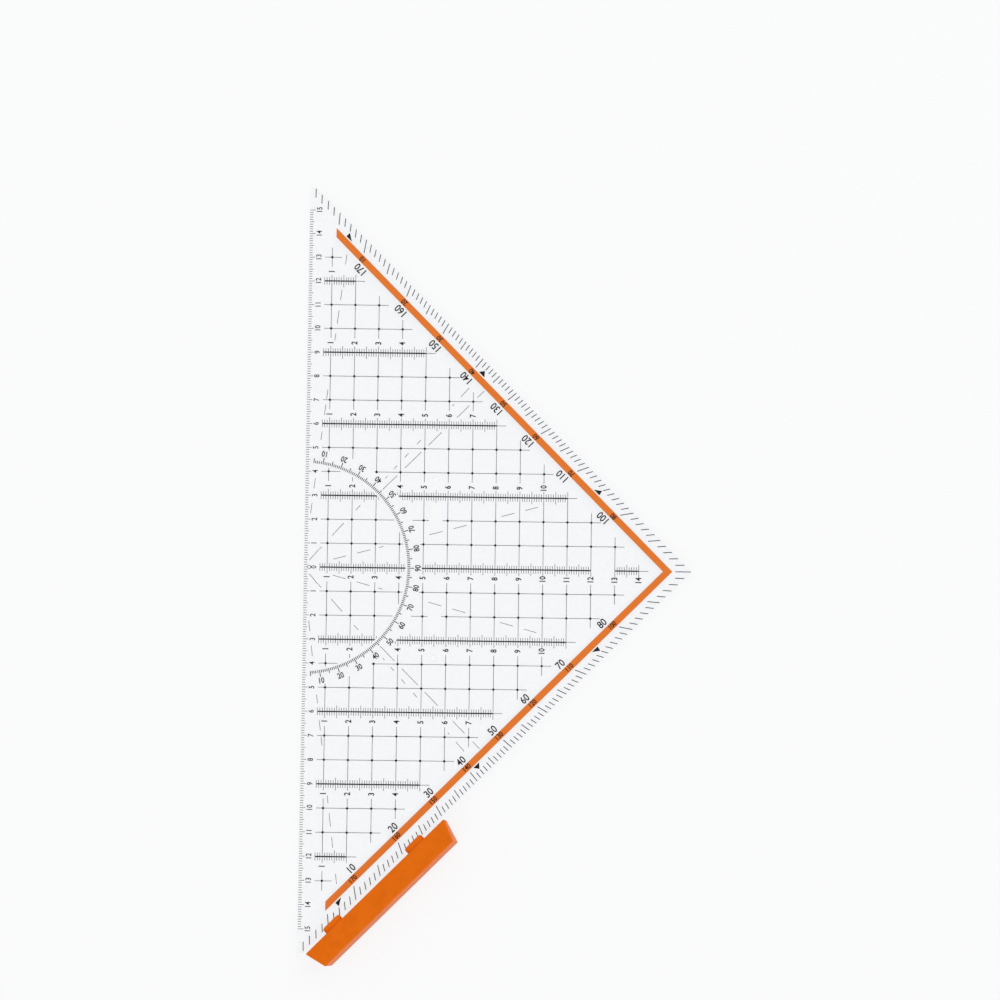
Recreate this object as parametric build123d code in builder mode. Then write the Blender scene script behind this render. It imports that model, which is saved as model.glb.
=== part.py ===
from math import asin, atan, atan2, ceil, cos, hypot, radians, sin, sqrt, tan
import os

from build123d import *

# Frame: the origin is the zero mark on the drawing edge, at paper level.
# +X runs to the right-angle corner, +Y along the drawing edge, +Z up from the paper.

# Plate
tip_reach = 160.0
tip_width = 2.5
plate_thickness = 2.2
edge_thickness = 0.9
facet_width = 6.5
step_width = 1.1
step_depth = 1.0
corner_radius = 0.8
nub_diameter = 2.8
nub_height = 0.5
nub_rounding = 0.35
grip_nub_reach = 37.3

# Grip and its slots
grip_line = 55.0
slot_pitch = 47.0
slot_length = 9.6
slot_width = 5.0
tab_clearance = 0.2
tab_lead = 0.4
paper_clearance = 0.1
grip_base_length = 79.4
grip_top_length = 73.0
grip_base_width = 7.0
grip_top_width = 15.0
grip_height = 9.8
grip_rounding = 0.5

# Place of the loose grip beside the lower short edge
grip_from_tip = 5.1
grip_gap = 0.7
rest_clearance = 0.1

# Printing
ink_thickness = 0.04
line_width = 0.21
grid_pitch = 10.0
grid_margin = 0.5
grid_overrun = 4.0
dot_diameter = 1.05
comb_every = 3
comb_tick = 1.6
comb_long_tick = 2.6
comb_tick_width = 0.2
comb_line_width = 0.55
comb_numeral_gap = 6.0
bare_cell = 12
slot_margin = 0.6
stripe_inset = 6.0
stripe_width = 2.8
stripe_grid_margin = 3.5
stripe_start = 11.6
edge_margin = 0.3
ruler_tick = 1.4
ruler_half_tick = 1.9
ruler_long_tick = 2.4
ruler_tick_width = 0.22
zero_ring_diameter = 1.6
ring_radius = 43.5
ring_tick = 1.2
ring_half_tick = 2.1
ring_long_tick = 2.9
ring_tick_width = 0.34
ring_first_angle = 5
ring_clear_inside = 0.8
ring_clear_outside = 6.0
leg_margin = 0.5
leg_tick = 2.7
leg_half_tick = 3.9
leg_long_tick = 4.6
leg_tick_width = 0.34
pointer_angles = (7, 42, 75)
pointer_gap = 0.5
pointer_base = 3.3
pointer_height = 2.1

# Dashes of the guide lines, as start and length along each ray from the zero mark
angle_dashes = {
    7: ((22.5, 4.5), (33.0, 4.4), (53.5, 3.6), (64.2, 4.2), (71.0, 3.8), (95.5, 3.2),
        (102.8, 5.6), (112.8, 4.4), (128.0, 4.2)),
    42: ((3.8, 5.8), (9.8, 1.6), (17.8, 7.0), (32.3, 2.8), (50.4, 1.2), (55.6, 1.9),
         (62.3, 2.4), (69.8, 2.4), (91.6, 1.0), (96.8, 5.2)),
    45: ((46.2, 8.4), (59.1, 9.6), (72.8, 7.8), (89.5, 7.1), (101.4, 4.0)),
    75: ((12.9, 5.6), (23.2, 5.6), (32.6, 1.9), (54.3, 5.6), (64.7, 5.6), (85.3, 5.6),
         (95.6, 5.4)),
}

# The short edges meet at a right angle, as far from the zero mark as the uncut tips
corner_reach = tip_reach + tip_width

# Derived levels and planes
plate_top = nub_height + plate_thickness
under_plane = Plane.XY.offset(nub_height)
print_plane = Plane.XY.offset(plate_top)
facet_rise = plate_thickness - edge_thickness
facet_plane = Plane(
    origin=(0, 0, nub_height + edge_thickness),
    x_dir=(facet_width, 0, facet_rise),
    z_dir=(-facet_rise, 0, facet_width),
)
tab_length = slot_length - 2 * tab_clearance
tab_width = slot_width - 2 * tab_clearance
tab_depth = plate_top - paper_clearance
slot_places = [(grip_line, slot_pitch / 2), (grip_line, -slot_pitch / 2)]

# Bands beside the short edges, as the sum of x and the distance from the zero line
stripe_outer = corner_reach - stripe_inset * sqrt(2)
stripe_inner = stripe_outer - stripe_width * sqrt(2)
stripe_middle = (stripe_inner + stripe_outer) / 2
tick_outer = corner_reach - leg_margin * sqrt(2)
pointer_foot = stripe_outer + pointer_gap * sqrt(2)
pointer_tip = pointer_foot + pointer_height * sqrt(2)

# Whole centimetres that fit inside the stripe and along the drawing edge
grid_start = facet_width + grid_margin
grid_count = int((stripe_inner - stripe_grid_margin * sqrt(2)) // grid_pitch)
ruler_reach = int((tip_reach - grid_pitch) // grid_pitch * grid_pitch)
comb_rows = [j for j in range(-grid_count + 1, grid_count) if j % comb_every == 0]
plain_rows = [j for j in range(-grid_count + 1, grid_count) if j % comb_every != 0]


def chevron(inner, outer, start):
    """Corners of a band that runs beside both short edges and is cut off at x = start."""
    return [
        (start, outer - start),
        (outer, 0),
        (start, start - outer),
        (start, start - inner),
        (inner, 0),
        (start, inner - start),
    ]


def ray(radius, angle):
    """Place on the ray that leaves the zero mark at this angle from the X axis."""
    turn = radians(angle)
    return Location((radius * cos(turn), radius * sin(turn), 0), (0, 0, angle))


def on_band(reach, angle):
    """Radius at which the ray at this angle meets the line parallel to a short edge."""
    turn = radians(angle)
    return reach / (cos(turn) + abs(sin(turn)))


def by_plane(reach, angles):
    """Planes of the printed face, each with the angles whose rays end on it."""
    on_facet = [a for a in angles if reach(a) * cos(radians(a)) < facet_width]
    return (print_plane, [a for a in angles if a not in on_facet]), (facet_plane, on_facet)


def row_end(j):
    """End of the grid row j, a little past its last crossing."""
    return (grid_count - abs(j)) * grid_pitch + grid_overrun


def column_end(i):
    """End of the grid column i, which stops at the comb where it ends on one."""
    last_row = grid_count - i
    overrun = comb_long_tick if last_row % comb_every == 0 else grid_overrun
    return last_row * grid_pitch + overrun


# Clear plate
with BuildPart() as plate:
    with BuildSketch(under_plane) as outline:
        with BuildLine():
            Polyline(
                (0, tip_reach),
                (0, -tip_reach),
                (tip_width, -tip_reach),
                (corner_reach, 0),
                (tip_width, tip_reach),
                close=True,
            )
        make_face()
        fillet(outline.vertices().sort_by(Axis.X)[-1], corner_radius)
    extrude(amount=plate_thickness)
    top_face = plate.faces().sort_by(Axis.Z)[-1]
    drawing_edge = top_face.edges().sort_by(Axis.X)[0]
    chamfer(drawing_edge, length=facet_width, length2=facet_rise, reference=top_face)
    # Steps under both short edges hold the lip off the paper
    with BuildSketch(under_plane):
        with BuildLine():
            step_reach = corner_reach - step_width * sqrt(2)
            Polyline(*chevron(step_reach, corner_reach + step_width, -step_width), close=True)
        make_face()
    extrude(amount=step_depth, mode=Mode.SUBTRACT)
    # Slots for the tabs of the grip
    with BuildSketch(under_plane):
        with Locations(*slot_places):
            SlotOverall(slot_length, slot_width, rotation=90)
    extrude(amount=plate_thickness, mode=Mode.SUBTRACT)
    # Nubs under the ends of the grip, and under the stripe near the three corners
    with BuildSketch(under_plane):
        tip_nub_x = stripe_start + nub_diameter
        with Locations(
            (grip_line, grip_nub_reach),
            (grip_line, -grip_nub_reach),
            (stripe_middle, 0),
            (tip_nub_x, stripe_middle - tip_nub_x),
            (tip_nub_x, tip_nub_x - stripe_middle),
        ):
            Circle(nub_diameter / 2)
    extrude(amount=-nub_height)
    fillet(plate.edges().group_by(Axis.Z)[0], min(nub_rounding, 0.9 * nub_height))
plate.part.label = "plate"

# The loose grip lies with its rounded upper rim on the table and its tabs on the plate
flare = atan((grip_top_width - grip_base_width) / 2 / grip_height)
rim_height = grip_height - grip_rounding
rim_side = grip_rounding / cos(flare) - grip_base_width / 2 - rim_height * tan(flare)
lever_height = rim_height + tab_depth
lever_side = rim_side + tab_width / 2
lever_drop = grip_rounding - plate_top - rest_clearance
tilt = asin(lever_drop / hypot(lever_height, lever_side)) - atan2(lever_side, lever_height)
axis_lift = grip_rounding - rim_height * sin(tilt) - rim_side * cos(tilt)
axis_reach = corner_reach / sqrt(2) + grip_gap + grip_base_width / 2 * sin(tilt)
grip_from_middle = corner_reach / sqrt(2) - grip_from_tip - grip_base_length / 2
grip_plane = Plane(
    origin=(
        (axis_reach - grip_from_middle) / sqrt(2),
        (-axis_reach - grip_from_middle) / sqrt(2),
        axis_lift,
    ),
    x_dir=(1, 1, 0),
    z_dir=(cos(tilt), -cos(tilt), sqrt(2) * sin(tilt)),
)

# Grip: a bar that flares towards its top, with two tabs under its base
with BuildPart() as grip:
    with BuildSketch(grip_plane):
        Rectangle(grip_base_length, grip_base_width)
    with BuildSketch(grip_plane.offset(grip_height)):
        Rectangle(grip_top_length, grip_top_width)
    loft(ruled=True)
    fillet(grip.edges(), grip_rounding)
    with BuildSketch(grip_plane):
        with Locations((slot_pitch / 2, 0), (-slot_pitch / 2, 0)):
            SlotOverall(tab_length, tab_width)
    extrude(amount=-tab_depth)
    tab_ends = grip.faces().filter_by(grip_plane).sort_by(Axis(grip_plane.origin, grip_plane.z_dir))[:2]
    chamfer(tab_ends.edges(), tab_lead)
grip.part.label = "grip"

# Ruler on the facet, with a small ring at the zero mark
with BuildPart() as ruler_scale:
    with BuildSketch(facet_plane):
        millimetres = range(-ruler_reach, ruler_reach + 1)
        for length, marks in (
            (ruler_tick, [y for y in millimetres if y % 5 != 0]),
            (ruler_half_tick, [y for y in millimetres if y % 10 == 5]),
            (ruler_long_tick, [y for y in millimetres if y % 10 == 0 and y != 0]),
        ):
            with Locations(*[(edge_margin, y) for y in marks]):
                Rectangle(length, ruler_tick_width, align=(Align.MIN, Align.CENTER))
        with Locations((edge_margin, 0)):
            Rectangle(ruler_tick, ruler_tick_width, align=(Align.MIN, Align.CENTER))
        with Locations((edge_margin + ruler_tick + zero_ring_diameter / 2, 0)):
            Circle(zero_ring_diameter / 2)
            Circle(zero_ring_diameter / 2 - line_width, mode=Mode.SUBTRACT)
    extrude(amount=ink_thickness)
ruler_scale.part.label = "ruler_scale"

# Centimetre grid, blank under the combs, around the protractor and at the slots
with BuildPart() as centimetre_grid:
    with BuildSketch(print_plane):
        for i in range(1, grid_count):
            with Locations((i * grid_pitch, 0)):
                Rectangle(line_width, 2 * column_end(i))
        for j in comb_rows:
            side = 1 if j > 0 else -1
            with Locations((0, j * grid_pitch - side * comb_long_tick)):
                Rectangle(
                    row_end(j),
                    comb_long_tick + comb_numeral_gap,
                    align=(Align.MIN, Align.MIN if j > 0 else Align.MAX),
                    mode=Mode.SUBTRACT,
                )
        for j in plain_rows:
            with Locations((grid_start, j * grid_pitch)):
                Rectangle(row_end(j) - grid_start, line_width, align=(Align.MIN, Align.CENTER))
        with Locations(
            *[
                (i * grid_pitch, j * grid_pitch)
                for j in plain_rows
                for i in range(1, grid_count - abs(j) + 1)
            ]
        ):
            Circle(dot_diameter / 2)
        with Locations(*slot_places):
            SlotOverall(
                slot_length + 2 * slot_margin,
                slot_width + 2 * slot_margin,
                rotation=90,
                mode=Mode.SUBTRACT,
            )
        with BuildSketch(mode=Mode.SUBTRACT):
            Circle(ring_radius + ring_clear_outside)
            Circle(ring_radius - ring_clear_inside, mode=Mode.SUBTRACT)
    extrude(amount=ink_thickness)
centimetre_grid.part.label = "centimetre_grid"

# Millimetre combs on every third row
with BuildPart() as cross_scales:
    for j in comb_rows:
        last_mark = int((grid_count - abs(j)) * grid_pitch)
        marks = range(ceil(grid_start), last_mark + 1)
        y = j * grid_pitch
        with BuildSketch(print_plane):
            with Locations((grid_start, y)):
                Rectangle(last_mark - grid_start, comb_line_width, align=(Align.MIN, Align.CENTER))
                Rectangle(row_end(j) - grid_start, line_width, align=(Align.MIN, Align.CENTER))
            with Locations(*[(x, y) for x in marks if x % 5 != 0]):
                Rectangle(comb_tick_width, 2 * comb_tick)
            with Locations(*[(x, y) for x in marks if x % 5 == 0]):
                Rectangle(comb_tick_width, 2 * comb_long_tick)
            with BuildSketch(mode=Mode.SUBTRACT):
                Circle(ring_radius + ring_clear_outside)
                Circle(ring_radius - ring_clear_inside, mode=Mode.SUBTRACT)
            if j == 0:
                with Locations(((bare_cell + 0.5) * grid_pitch, 0)):
                    Rectangle(grid_pitch - line_width, grid_pitch, mode=Mode.SUBTRACT)
    extrude(amount=ink_thickness)
cross_scales.part.label = "cross_scales"

# Inner protractor ring
with BuildPart() as protractor_scale:
    ring_limit = 90 - ring_first_angle
    ring_angles = range(-ring_limit, ring_limit + 1)
    for plane, angles in by_plane(lambda a: ring_radius + ring_tick, ring_angles):
        for length, marks in (
            (ring_tick, [a for a in angles if a % 5 != 0]),
            (ring_half_tick, [a for a in angles if a % 10 == 5]),
            (ring_long_tick, [a for a in angles if a % 10 == 0]),
        ):
            if marks:
                with BuildSketch(plane):
                    with Locations(*[ray(ring_radius, a) for a in marks]):
                        Rectangle(length, ring_tick_width, align=(Align.MIN, Align.CENTER))
    extrude(amount=ink_thickness)
protractor_scale.part.label = "protractor_scale"

# Degree marks along both short edges, shortened in front of the pointers
with BuildPart() as degree_scale:
    pointed = [90 - a for a in pointer_angles] + [a - 90 for a in pointer_angles]
    leg_angles = range(-89, 90)
    tick_foot = on_band(stripe_outer, 45)
    for plane, angles in by_plane(lambda a: on_band(tick_outer, a), leg_angles):
        plain = [a for a in angles if a not in pointed]
        for inner, marks in (
            (tick_outer - leg_tick * sqrt(2), [a for a in plain if a % 5 != 0]),
            (tick_outer - leg_half_tick * sqrt(2), [a for a in plain if a % 10 == 5]),
            (tick_outer - leg_long_tick * sqrt(2), [a for a in plain if a % 10 == 0]),
            (pointer_tip + pointer_gap, [a for a in angles if a in pointed]),
        ):
            if marks:
                with BuildSketch(plane):
                    with Locations(*[ray(tick_foot, a) for a in marks]):
                        Rectangle(corner_reach, leg_tick_width, align=(Align.MIN, Align.CENTER))
                    with BuildLine():
                        Polyline(*chevron(inner, tick_outer, 0), close=True)
                    make_face(mode=Mode.INTERSECT)
    extrude(amount=ink_thickness)
degree_scale.part.label = "degree_scale"

# Dashed guide lines, alike on both halves
with BuildPart() as angle_lines:
    for angle, dashes in angle_dashes.items():
        for start, length in dashes:
            for plane, sides in by_plane(lambda a: start, (90 - angle, angle - 90)):
                if sides:
                    with BuildSketch(plane):
                        with Locations(*[ray(start, a) for a in sides]):
                            Rectangle(length, line_width, align=(Align.MIN, Align.CENTER))
    extrude(amount=ink_thickness)
angle_lines.part.label = "angle_lines"

# Pointer triangles stand on the stripe side and point outwards along their rays
with BuildPart() as angle_pointers:
    with BuildSketch(print_plane):
        for angle in pointed:
            foot = ray(on_band(pointer_foot, angle), angle).position
            tip = ray(on_band(pointer_tip, angle), angle).position
            edge = pointer_base / 2 / sqrt(2)
            lean = edge if angle > 0 else -edge
            Polygon(
                (foot.X - edge, foot.Y + lean),
                (foot.X + edge, foot.Y - lean),
                (tip.X, tip.Y),
                align=None,
            )
    extrude(amount=ink_thickness)
angle_pointers.part.label = "angle_pointers"

# Orange stripe
with BuildPart() as guide_stripe:
    with BuildSketch(print_plane):
        with BuildLine():
            Polyline(*chevron(stripe_inner, stripe_outer, stripe_start), close=True)
        make_face()
    extrude(amount=ink_thickness)
guide_stripe.part.label = "guide_stripe"

os.makedirs("parts", exist_ok=True)
pieces = (
    plate,
    grip,
    ruler_scale,
    centimetre_grid,
    cross_scales,
    protractor_scale,
    degree_scale,
    angle_lines,
    angle_pointers,
    guide_stripe,
)
for piece in pieces:
    export_step(piece.part, f"parts/{piece.part.label}.step")
    print(piece.part.label, len(piece.part.solids()), round(piece.part.volume, 3))
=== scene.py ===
from math import atan2, cos, radians, sin, tan

import bpy
from mathutils import Euler, Matrix, Vector


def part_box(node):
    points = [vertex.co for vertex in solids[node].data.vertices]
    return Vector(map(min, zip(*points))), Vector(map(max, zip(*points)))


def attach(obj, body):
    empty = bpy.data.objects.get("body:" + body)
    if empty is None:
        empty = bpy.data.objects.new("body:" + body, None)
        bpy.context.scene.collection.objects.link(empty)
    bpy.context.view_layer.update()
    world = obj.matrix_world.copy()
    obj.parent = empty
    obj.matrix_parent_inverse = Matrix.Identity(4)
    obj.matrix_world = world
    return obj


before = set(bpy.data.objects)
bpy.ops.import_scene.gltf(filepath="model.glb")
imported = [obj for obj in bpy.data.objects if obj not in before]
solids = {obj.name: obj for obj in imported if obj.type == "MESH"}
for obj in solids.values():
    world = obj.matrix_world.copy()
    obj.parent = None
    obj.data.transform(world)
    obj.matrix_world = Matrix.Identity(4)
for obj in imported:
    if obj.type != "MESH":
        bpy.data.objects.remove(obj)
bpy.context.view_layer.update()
mm = 0.001
cm = 10 * mm

# level of the printed face and depth of its ink, read from the frame
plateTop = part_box("plate")[1].z
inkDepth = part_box("guide_stripe")[1].z - plateTop
print("frame loaded")


def deselectAll():
    bpy.ops.object.select_all(action="DESELECT")


def newMaterial(name):
    material = bpy.data.materials.new(name)
    material.use_nodes = True
    nodes = material.node_tree.nodes
    return material, nodes, material.node_tree.links, nodes["Principled BSDF"]


def addNode(nodes, kind, place, **values):
    node = nodes.new(kind)
    node.location = place
    for key, value in values.items():
        if hasattr(node, key):
            setattr(node, key, value)
        else:
            node.inputs[key.replace("_", " ")].default_value = value
    return node


def dress(piece, material):
    piece.data.materials.clear()
    piece.data.materials.append(material)


# fine uneven specks: a mask and a height that several finishes share
speckSettings = {"detail": 4, "roughness": 0.6}


def makeSpeckGroup(s):
    group = bpy.data.node_groups.new("fineSpecks", "ShaderNodeTree")
    face = group.interface
    face.new_socket("Vector", in_out="INPUT", socket_type="NodeSocketVector")
    for name in ("Scale", "Low", "High"):
        face.new_socket(name, in_out="INPUT", socket_type="NodeSocketFloat")
    for name in ("Mask", "Height"):
        face.new_socket(name, in_out="OUTPUT", socket_type="NodeSocketFloat")
    nodes, links = group.nodes, group.links
    source = addNode(nodes, "NodeGroupInput", (-600, 0))
    noise = addNode(nodes, "ShaderNodeTexNoise", (-400, 0), Detail=s["detail"], Roughness=s["roughness"])
    spread = addNode(nodes, "ShaderNodeMapRange", (-200, 0), interpolation_type="SMOOTHSTEP")
    result = addNode(nodes, "NodeGroupOutput", (0, 0))
    links.new(source.outputs["Vector"], noise.inputs["Vector"])
    links.new(source.outputs["Scale"], noise.inputs["Scale"])
    links.new(noise.outputs["Fac"], spread.inputs["Value"])
    links.new(source.outputs["Low"], spread.inputs["From Min"])
    links.new(source.outputs["High"], spread.inputs["From Max"])
    links.new(spread.outputs["Result"], result.inputs["Mask"])
    links.new(noise.outputs["Fac"], result.inputs["Height"])
    return group


speckGroup = makeSpeckGroup(speckSettings)


def addSpecks(nodes, links, place, scale, low, high):
    coords = addNode(nodes, "ShaderNodeTexCoord", (place[0] - 200, place[1]))
    specks = addNode(nodes, "ShaderNodeGroup", place, node_tree=speckGroup)
    specks.inputs["Scale"].default_value = scale
    specks.inputs["Low"].default_value = low
    specks.inputs["High"].default_value = high
    links.new(coords.outputs["Object"], specks.inputs["Vector"])
    return specks


def mixByMask(nodes, links, mask, first, second, target, place):
    mix = addNode(nodes, "ShaderNodeMix", place, data_type="RGBA")
    mix.inputs[6].default_value = first  # sockets 6 and 7 are the two colours
    mix.inputs[7].default_value = second
    links.new(mask, mix.inputs[0])
    links.new(mix.outputs[2], target)


def rangeByMask(nodes, links, mask, low, high, target, place):
    span = addNode(nodes, "ShaderNodeMapRange", place)
    span.inputs["To Min"].default_value = low
    span.inputs["To Max"].default_value = high
    links.new(mask, span.inputs["Value"])
    links.new(span.outputs["Result"], target)


# clear polystyrene: a faint cool tint, fine scuffs, and light let through to the table
clearPlastic = {
    "tint": (0.985, 0.99, 1, 1),
    "haze": (0.96, 0.967, 0.985, 1),
    "ior": 1.59,
    "polish": (0.03, 0.1),
    "scuffScale": 900,
    "scuffSpan": (0.45, 0.75),
    "shadowTint": (0.93, 0.94, 0.96, 1),
    "deepest": 3,  # rays that keep bouncing inside the plate then pass straight out
}


def makeClearPlastic(s):
    material, nodes, links, shader = newMaterial("clearPolystyrene")
    specks = addSpecks(nodes, links, (-700, 0), s["scuffScale"], *s["scuffSpan"])
    mask = specks.outputs["Mask"]
    mixByMask(nodes, links, mask, s["tint"], s["haze"], shader.inputs["Base Color"], (-400, 200))
    rangeByMask(nodes, links, mask, *s["polish"], shader.inputs["Roughness"], (-400, -100))
    shader.inputs["Transmission Weight"].default_value = 1
    shader.inputs["IOR"].default_value = s["ior"]
    path = addNode(nodes, "ShaderNodeLightPath", (0, 400))
    through = addNode(nodes, "ShaderNodeBsdfTransparent", (0, -300))
    through.inputs["Color"].default_value = s["shadowTint"]
    deep = addNode(nodes, "ShaderNodeMath", (100, 400), operation="GREATER_THAN")
    passing = addNode(nodes, "ShaderNodeMath", (200, 400), operation="MAXIMUM")
    blend = addNode(nodes, "ShaderNodeMixShader", (300, 0))
    links.new(path.outputs["Ray Depth"], deep.inputs[0])
    deep.inputs[1].default_value = s["deepest"]
    links.new(path.outputs["Is Shadow Ray"], passing.inputs[0])
    links.new(deep.outputs[0], passing.inputs[1])
    links.new(passing.outputs[0], blend.inputs["Fac"])
    links.new(shader.outputs["BSDF"], blend.inputs[1])
    links.new(through.outputs["BSDF"], blend.inputs[2])
    links.new(blend.outputs["Shader"], nodes["Material Output"].inputs["Surface"])
    return material


# orange moulding with a soft sheen, a faint flow mottle and a fine moulded skin
orangePlastic = {
    "colour": (0.86, 0.17, 0.007, 1),
    "flow": (0.8, 0.15, 0.006, 1),
    "flowScale": 160,
    "flowSpan": (0.35, 0.7),
    "polish": (0.26, 0.36),
    "gloss": 0.015,
    "skinScale": 2600,
    "skinSpan": (0.3, 0.7),
    "skinStrength": 0.25,
    "skinDepth": 0.02 * mm,
}


def makeOrangePlastic(s):
    material, nodes, links, shader = newMaterial("orangeMoulding")
    flow = addSpecks(nodes, links, (-700, 200), s["flowScale"], *s["flowSpan"])
    skin = addSpecks(nodes, links, (-700, -200), s["skinScale"], *s["skinSpan"])
    mask = flow.outputs["Mask"]
    mixByMask(nodes, links, mask, s["colour"], s["flow"], shader.inputs["Base Color"], (-400, 200))
    rangeByMask(nodes, links, skin.outputs["Mask"], *s["polish"], shader.inputs["Roughness"], (-400, -50))
    bump = addNode(nodes, "ShaderNodeBump", (-300, -300))
    bump.inputs["Strength"].default_value = s["skinStrength"]
    bump.inputs["Distance"].default_value = s["skinDepth"]
    links.new(skin.outputs["Height"], bump.inputs["Height"])
    links.new(bump.outputs["Normal"], shader.inputs["Normal"])
    shader.inputs["Specular IOR Level"].default_value = s["gloss"]
    return material


# printed ink: slightly uneven cover with a dry, matt face
inkSettings = {
    "blackInk": {"full": (0.006, 0.006, 0.007, 1), "thin": (0.03, 0.03, 0.034, 1)},
    "orangeInk": {"full": (0.8, 0.19, 0.02, 1), "thin": (0.83, 0.24, 0.05, 1)},
    "coverScale": 1800,
    "coverSpan": (0.5, 0.8),
    "polish": (0.45, 0.62),
    "gloss": 0.2,
}


def makeInk(name, s):
    material, nodes, links, shader = newMaterial(name)
    cover = addSpecks(nodes, links, (-700, 0), s["coverScale"], *s["coverSpan"])
    mask = cover.outputs["Mask"]
    full, thin = s[name]["full"], s[name]["thin"]
    mixByMask(nodes, links, mask, full, thin, shader.inputs["Base Color"], (-400, 200))
    rangeByMask(nodes, links, mask, *s["polish"], shader.inputs["Roughness"], (-400, -100))
    shader.inputs["Specular IOR Level"].default_value = s["gloss"]
    return material


clearFinish = makeClearPlastic(clearPlastic)
orangeFinish = makeOrangePlastic(orangePlastic)
blackInk = makeInk("blackInk", inkSettings)
orangeInk = makeInk("orangeInk", inkSettings)

dress(solids["plate"], clearFinish)
dress(solids["grip"], orangeFinish)
dress(solids["guide_stripe"], orangeInk)
blackLayers = (
    "ruler_scale",
    "centimetre_grid",
    "cross_scales",
    "protractor_scale",
    "degree_scale",
    "angle_lines",
    "angle_pointers",
)
for layer in blackLayers:
    dress(solids[layer], blackInk)
print("finishes set")


digitShare = 0.73  # height of a digit as a share of its type size
curveSteps = 3  # short lines in each curve of a digit


# one printed number: text made a mesh, then put in its place and turned
def printNumber(text, s, place, turn, level):
    deselectAll()
    bpy.ops.object.text_add()
    label = bpy.context.object
    label.data.body = text
    label.data.size = s["height"] / digitShare
    label.data.offset = s["stroke"]
    label.data.align_x = "CENTER"
    label.data.align_y = "CENTER"
    label.data.extrude = inkDepth / 2
    label.data.resolution_u = curveSteps
    bpy.ops.object.convert(target="MESH")
    label = bpy.context.object
    label.data.transform(Matrix.Diagonal((s["width"], 1, 1, 1)))
    label.data.transform(Matrix.LocRotScale(Vector((place[0], place[1], level)), turn, None))
    return label


def joinNumbers(labels, name):
    deselectAll()
    for label in labels:
        label.select_set(True)
    bpy.context.view_layer.objects.active = labels[0]
    bpy.ops.object.join()
    piece = bpy.context.object
    piece.name = name
    piece.data.name = name
    dress(piece, blackInk)
    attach(piece, "triangle")
    print(name, len(labels), "numbers")


def flatTurn(angle):
    return Euler((0, 0, radians(angle))).to_quaternion()


inkLevel = plateTop + inkDepth / 2

# ruler numbers lie on the sloping facet, tops towards the drawing edge
rulerNumbers = {
    "last": 15,
    "x": 4.45 * mm,
    "height": 2.4 * mm,
    "width": 0.8,
    "stroke": 0.05 * mm,
    "facetWidth": 6.5 * mm,
    "edgeTop": 1.4 * mm,
}


def makeRulerNumbers(s):
    slope = atan2(plateTop - s["edgeTop"], s["facetWidth"])
    level = s["edgeTop"] + s["x"] * tan(slope) + inkDepth / 2
    lean = Euler((0, -slope, 0)).to_quaternion() @ flatTurn(90)
    labels = []
    for k in range(-s["last"], s["last"] + 1):
        labels.append(printNumber(str(abs(k)), s, (s["x"], k * cm), lean, level))
    joinNumbers(labels, "rulerNumbers")


makeRulerNumbers(rulerNumbers)

# centimetre numbers beside the combs, as many as each comb is long
combNumbers = {
    "rows": {0: 14, 3: 10, 6: 7, 9: 4, 12: 1},
    "crossed": (3, 3),  # row and number that the protractor ring crosses
    "offset": 4 * mm,
    "height": 2.5 * mm,
    "width": 0.82,
    "stroke": 0.09 * mm,
}


def makeCombNumbers(s):
    labels = []
    for row, last in s["rows"].items():
        sides = (1, -1) if row else (-1,)
        numbers = [i for i in range(1, last + 1) if (row, i) != s["crossed"]]
        for side in sides:
            for i in numbers:
                place = (i * cm, side * (row * cm + s["offset"]))
                labels.append(printNumber(str(i), s, place, flatTurn(90), inkLevel))
    joinNumbers(labels, "combNumbers")


makeCombNumbers(combNumbers)

# protractor numbers, tops towards the zero mark
ringNumbers = {
    "step": 10,
    "last": 80,
    "radius": 48 * mm,
    "height": 2.4 * mm,
    "width": 0.82,
    "stroke": 0.08 * mm,
}


def makeRingNumbers(s):
    labels = []
    for angle in range(-s["last"], s["last"] + 1, s["step"]):
        turn = radians(angle)
        place = (s["radius"] * cos(turn), s["radius"] * sin(turn))
        labels.append(printNumber(str(90 - abs(angle)), s, place, flatTurn(angle + 90), inkLevel))
    joinNumbers(labels, "ringNumbers")


makeRingNumbers(ringNumbers)

# degree numbers along both short edges, in black beside the stripe and again on it
edgeNumbers = {
    "edgeNumbers": {
        "band": 147 * mm,
        "height": 3.2 * mm,
        "width": 0.85,
        "stroke": 0.08 * mm,
        "level": inkLevel,
        "opposite": False,
    },
    "stripeNumbers": {
        "band": 152 * mm,
        "height": 2.2 * mm,
        "width": 0.85,
        "stroke": 0.06 * mm,
        "level": inkLevel + inkDepth,  # they lie on the stripe's own ink
        "opposite": True,
    },
}


def makeEdgeNumbers(s, name):
    labels = []
    for number in range(10, 180, 10):
        if number == 90:
            continue  # the right-angle corner stays bare
        turn = radians(number - 90)
        reach = s["band"] / (cos(turn) + abs(sin(turn)))
        place = (reach * cos(turn), reach * sin(turn))
        text = str(180 - number if s["opposite"] else number)
        reading = 45 if number < 90 else 135
        labels.append(printNumber(text, s, place, flatTurn(reading), s["level"]))
    joinNumbers(labels, name)


for name, settings in edgeNumbers.items():
    makeEdgeNumbers(settings, name)
print("numbers printed")

# pale table: white to the eye, with a soft share of the shadow left in it
tableSettings = {
    "size": 6,
    "colour": (0.9, 0.9, 0.9, 1),
    "white": (0.99, 0.995, 1, 1),
    "whiteShare": 0.8,
    "roughness": 0.9,
}


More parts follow.
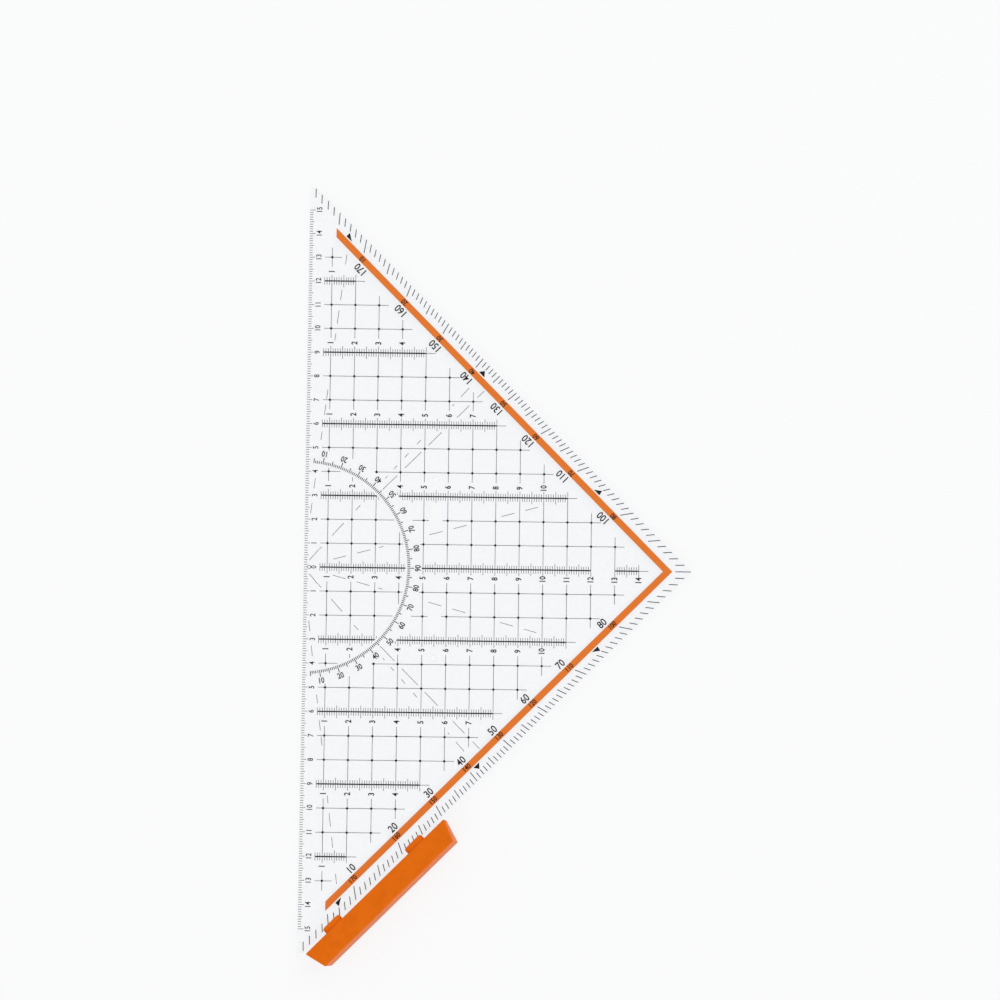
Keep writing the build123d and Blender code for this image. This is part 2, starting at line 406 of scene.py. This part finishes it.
def makeTable(s):
    deselectAll()
    bpy.ops.mesh.primitive_plane_add(size=s["size"], location=(0, 0, 0))
    table = bpy.context.object
    table.name = "table"
    material, nodes, links, shader = newMaterial("paleTable")
    shader.inputs["Base Color"].default_value = s["colour"]
    shader.inputs["Roughness"].default_value = s["roughness"]
    path = addNode(nodes, "ShaderNodeLightPath", (-700, 300))
    seen = addNode(nodes, "ShaderNodeMath", (-500, 300), operation="MAXIMUM")
    looked = addNode(nodes, "ShaderNodeMath", (-300, 300), operation="MAXIMUM")
    share = addNode(nodes, "ShaderNodeMath", (-100, 300), operation="MULTIPLY")
    glow = addNode(nodes, "ShaderNodeEmission", (0, -400), Color=s["white"])
    blend = addNode(nodes, "ShaderNodeMixShader", (300, 0))
    links.new(path.outputs["Is Camera Ray"], seen.inputs[0])
    links.new(path.outputs["Is Glossy Ray"], seen.inputs[1])
    links.new(seen.outputs[0], looked.inputs[0])
    links.new(path.outputs["Is Transmission Ray"], looked.inputs[1])
    links.new(looked.outputs[0], share.inputs[0])
    share.inputs[1].default_value = s["whiteShare"]
    links.new(share.outputs[0], blend.inputs["Fac"])
    links.new(shader.outputs["BSDF"], blend.inputs[1])
    links.new(glow.outputs["Emission"], blend.inputs[2])
    links.new(blend.outputs["Shader"], nodes["Material Output"].inputs["Surface"])
    table.data.materials.append(material)


makeTable(tableSettings)

# soft studio light from both sides and an even pale surround
lightSettings = {
    "surround": 0.72,
    "surroundColour": (1, 1, 1, 1),
    "panels": (
        {"place": (1.2, 1.3, 1.5), "size": 2.4, "power": 16},
        {"place": (-0.6, -1.7, 1.5), "size": 2.4, "power": 8},
    ),
}


def makeLights(s):
    world = bpy.data.worlds.new("paleSurround")
    bpy.context.scene.world = world
    world.use_nodes = True
    background = world.node_tree.nodes["Background"]
    background.inputs["Color"].default_value = s["surroundColour"]
    background.inputs["Strength"].default_value = s["surround"]
    for panel in s["panels"]:
        deselectAll()
        place = Vector(panel["place"])
        turn = (-place).to_track_quat("-Z", "Y").to_euler()
        bpy.ops.object.light_add(type="AREA", location=place, rotation=turn)
        lamp = bpy.context.object.data
        lamp.size = panel["size"]
        lamp.energy = panel["power"]


makeLights(lightSettings)

# camera nearly straight above, one metre up, tipped a little: millimetres and degrees
cameraSettings = {
    "place": (77.95, -18.6, 1000.0),
    "turn": (2.7286, -0.2531, 0.771),
    "lens": 86.06,
    "sensor": 36,
    "nearest": 10 * mm,
}


def makeCamera(s):
    deselectAll()
    place = Vector(s["place"]) * mm
    turn = Euler([radians(a) for a in s["turn"]])
    bpy.ops.object.camera_add(location=place, rotation=turn)
    camera = bpy.context.object
    camera.data.lens = s["lens"]
    camera.data.sensor_width = s["sensor"]
    camera.data.clip_start = s["nearest"]
    bpy.context.scene.camera = camera


makeCamera(cameraSettings)
bpy.context.scene.view_settings.view_transform = "Standard"
print("table, light and camera set")
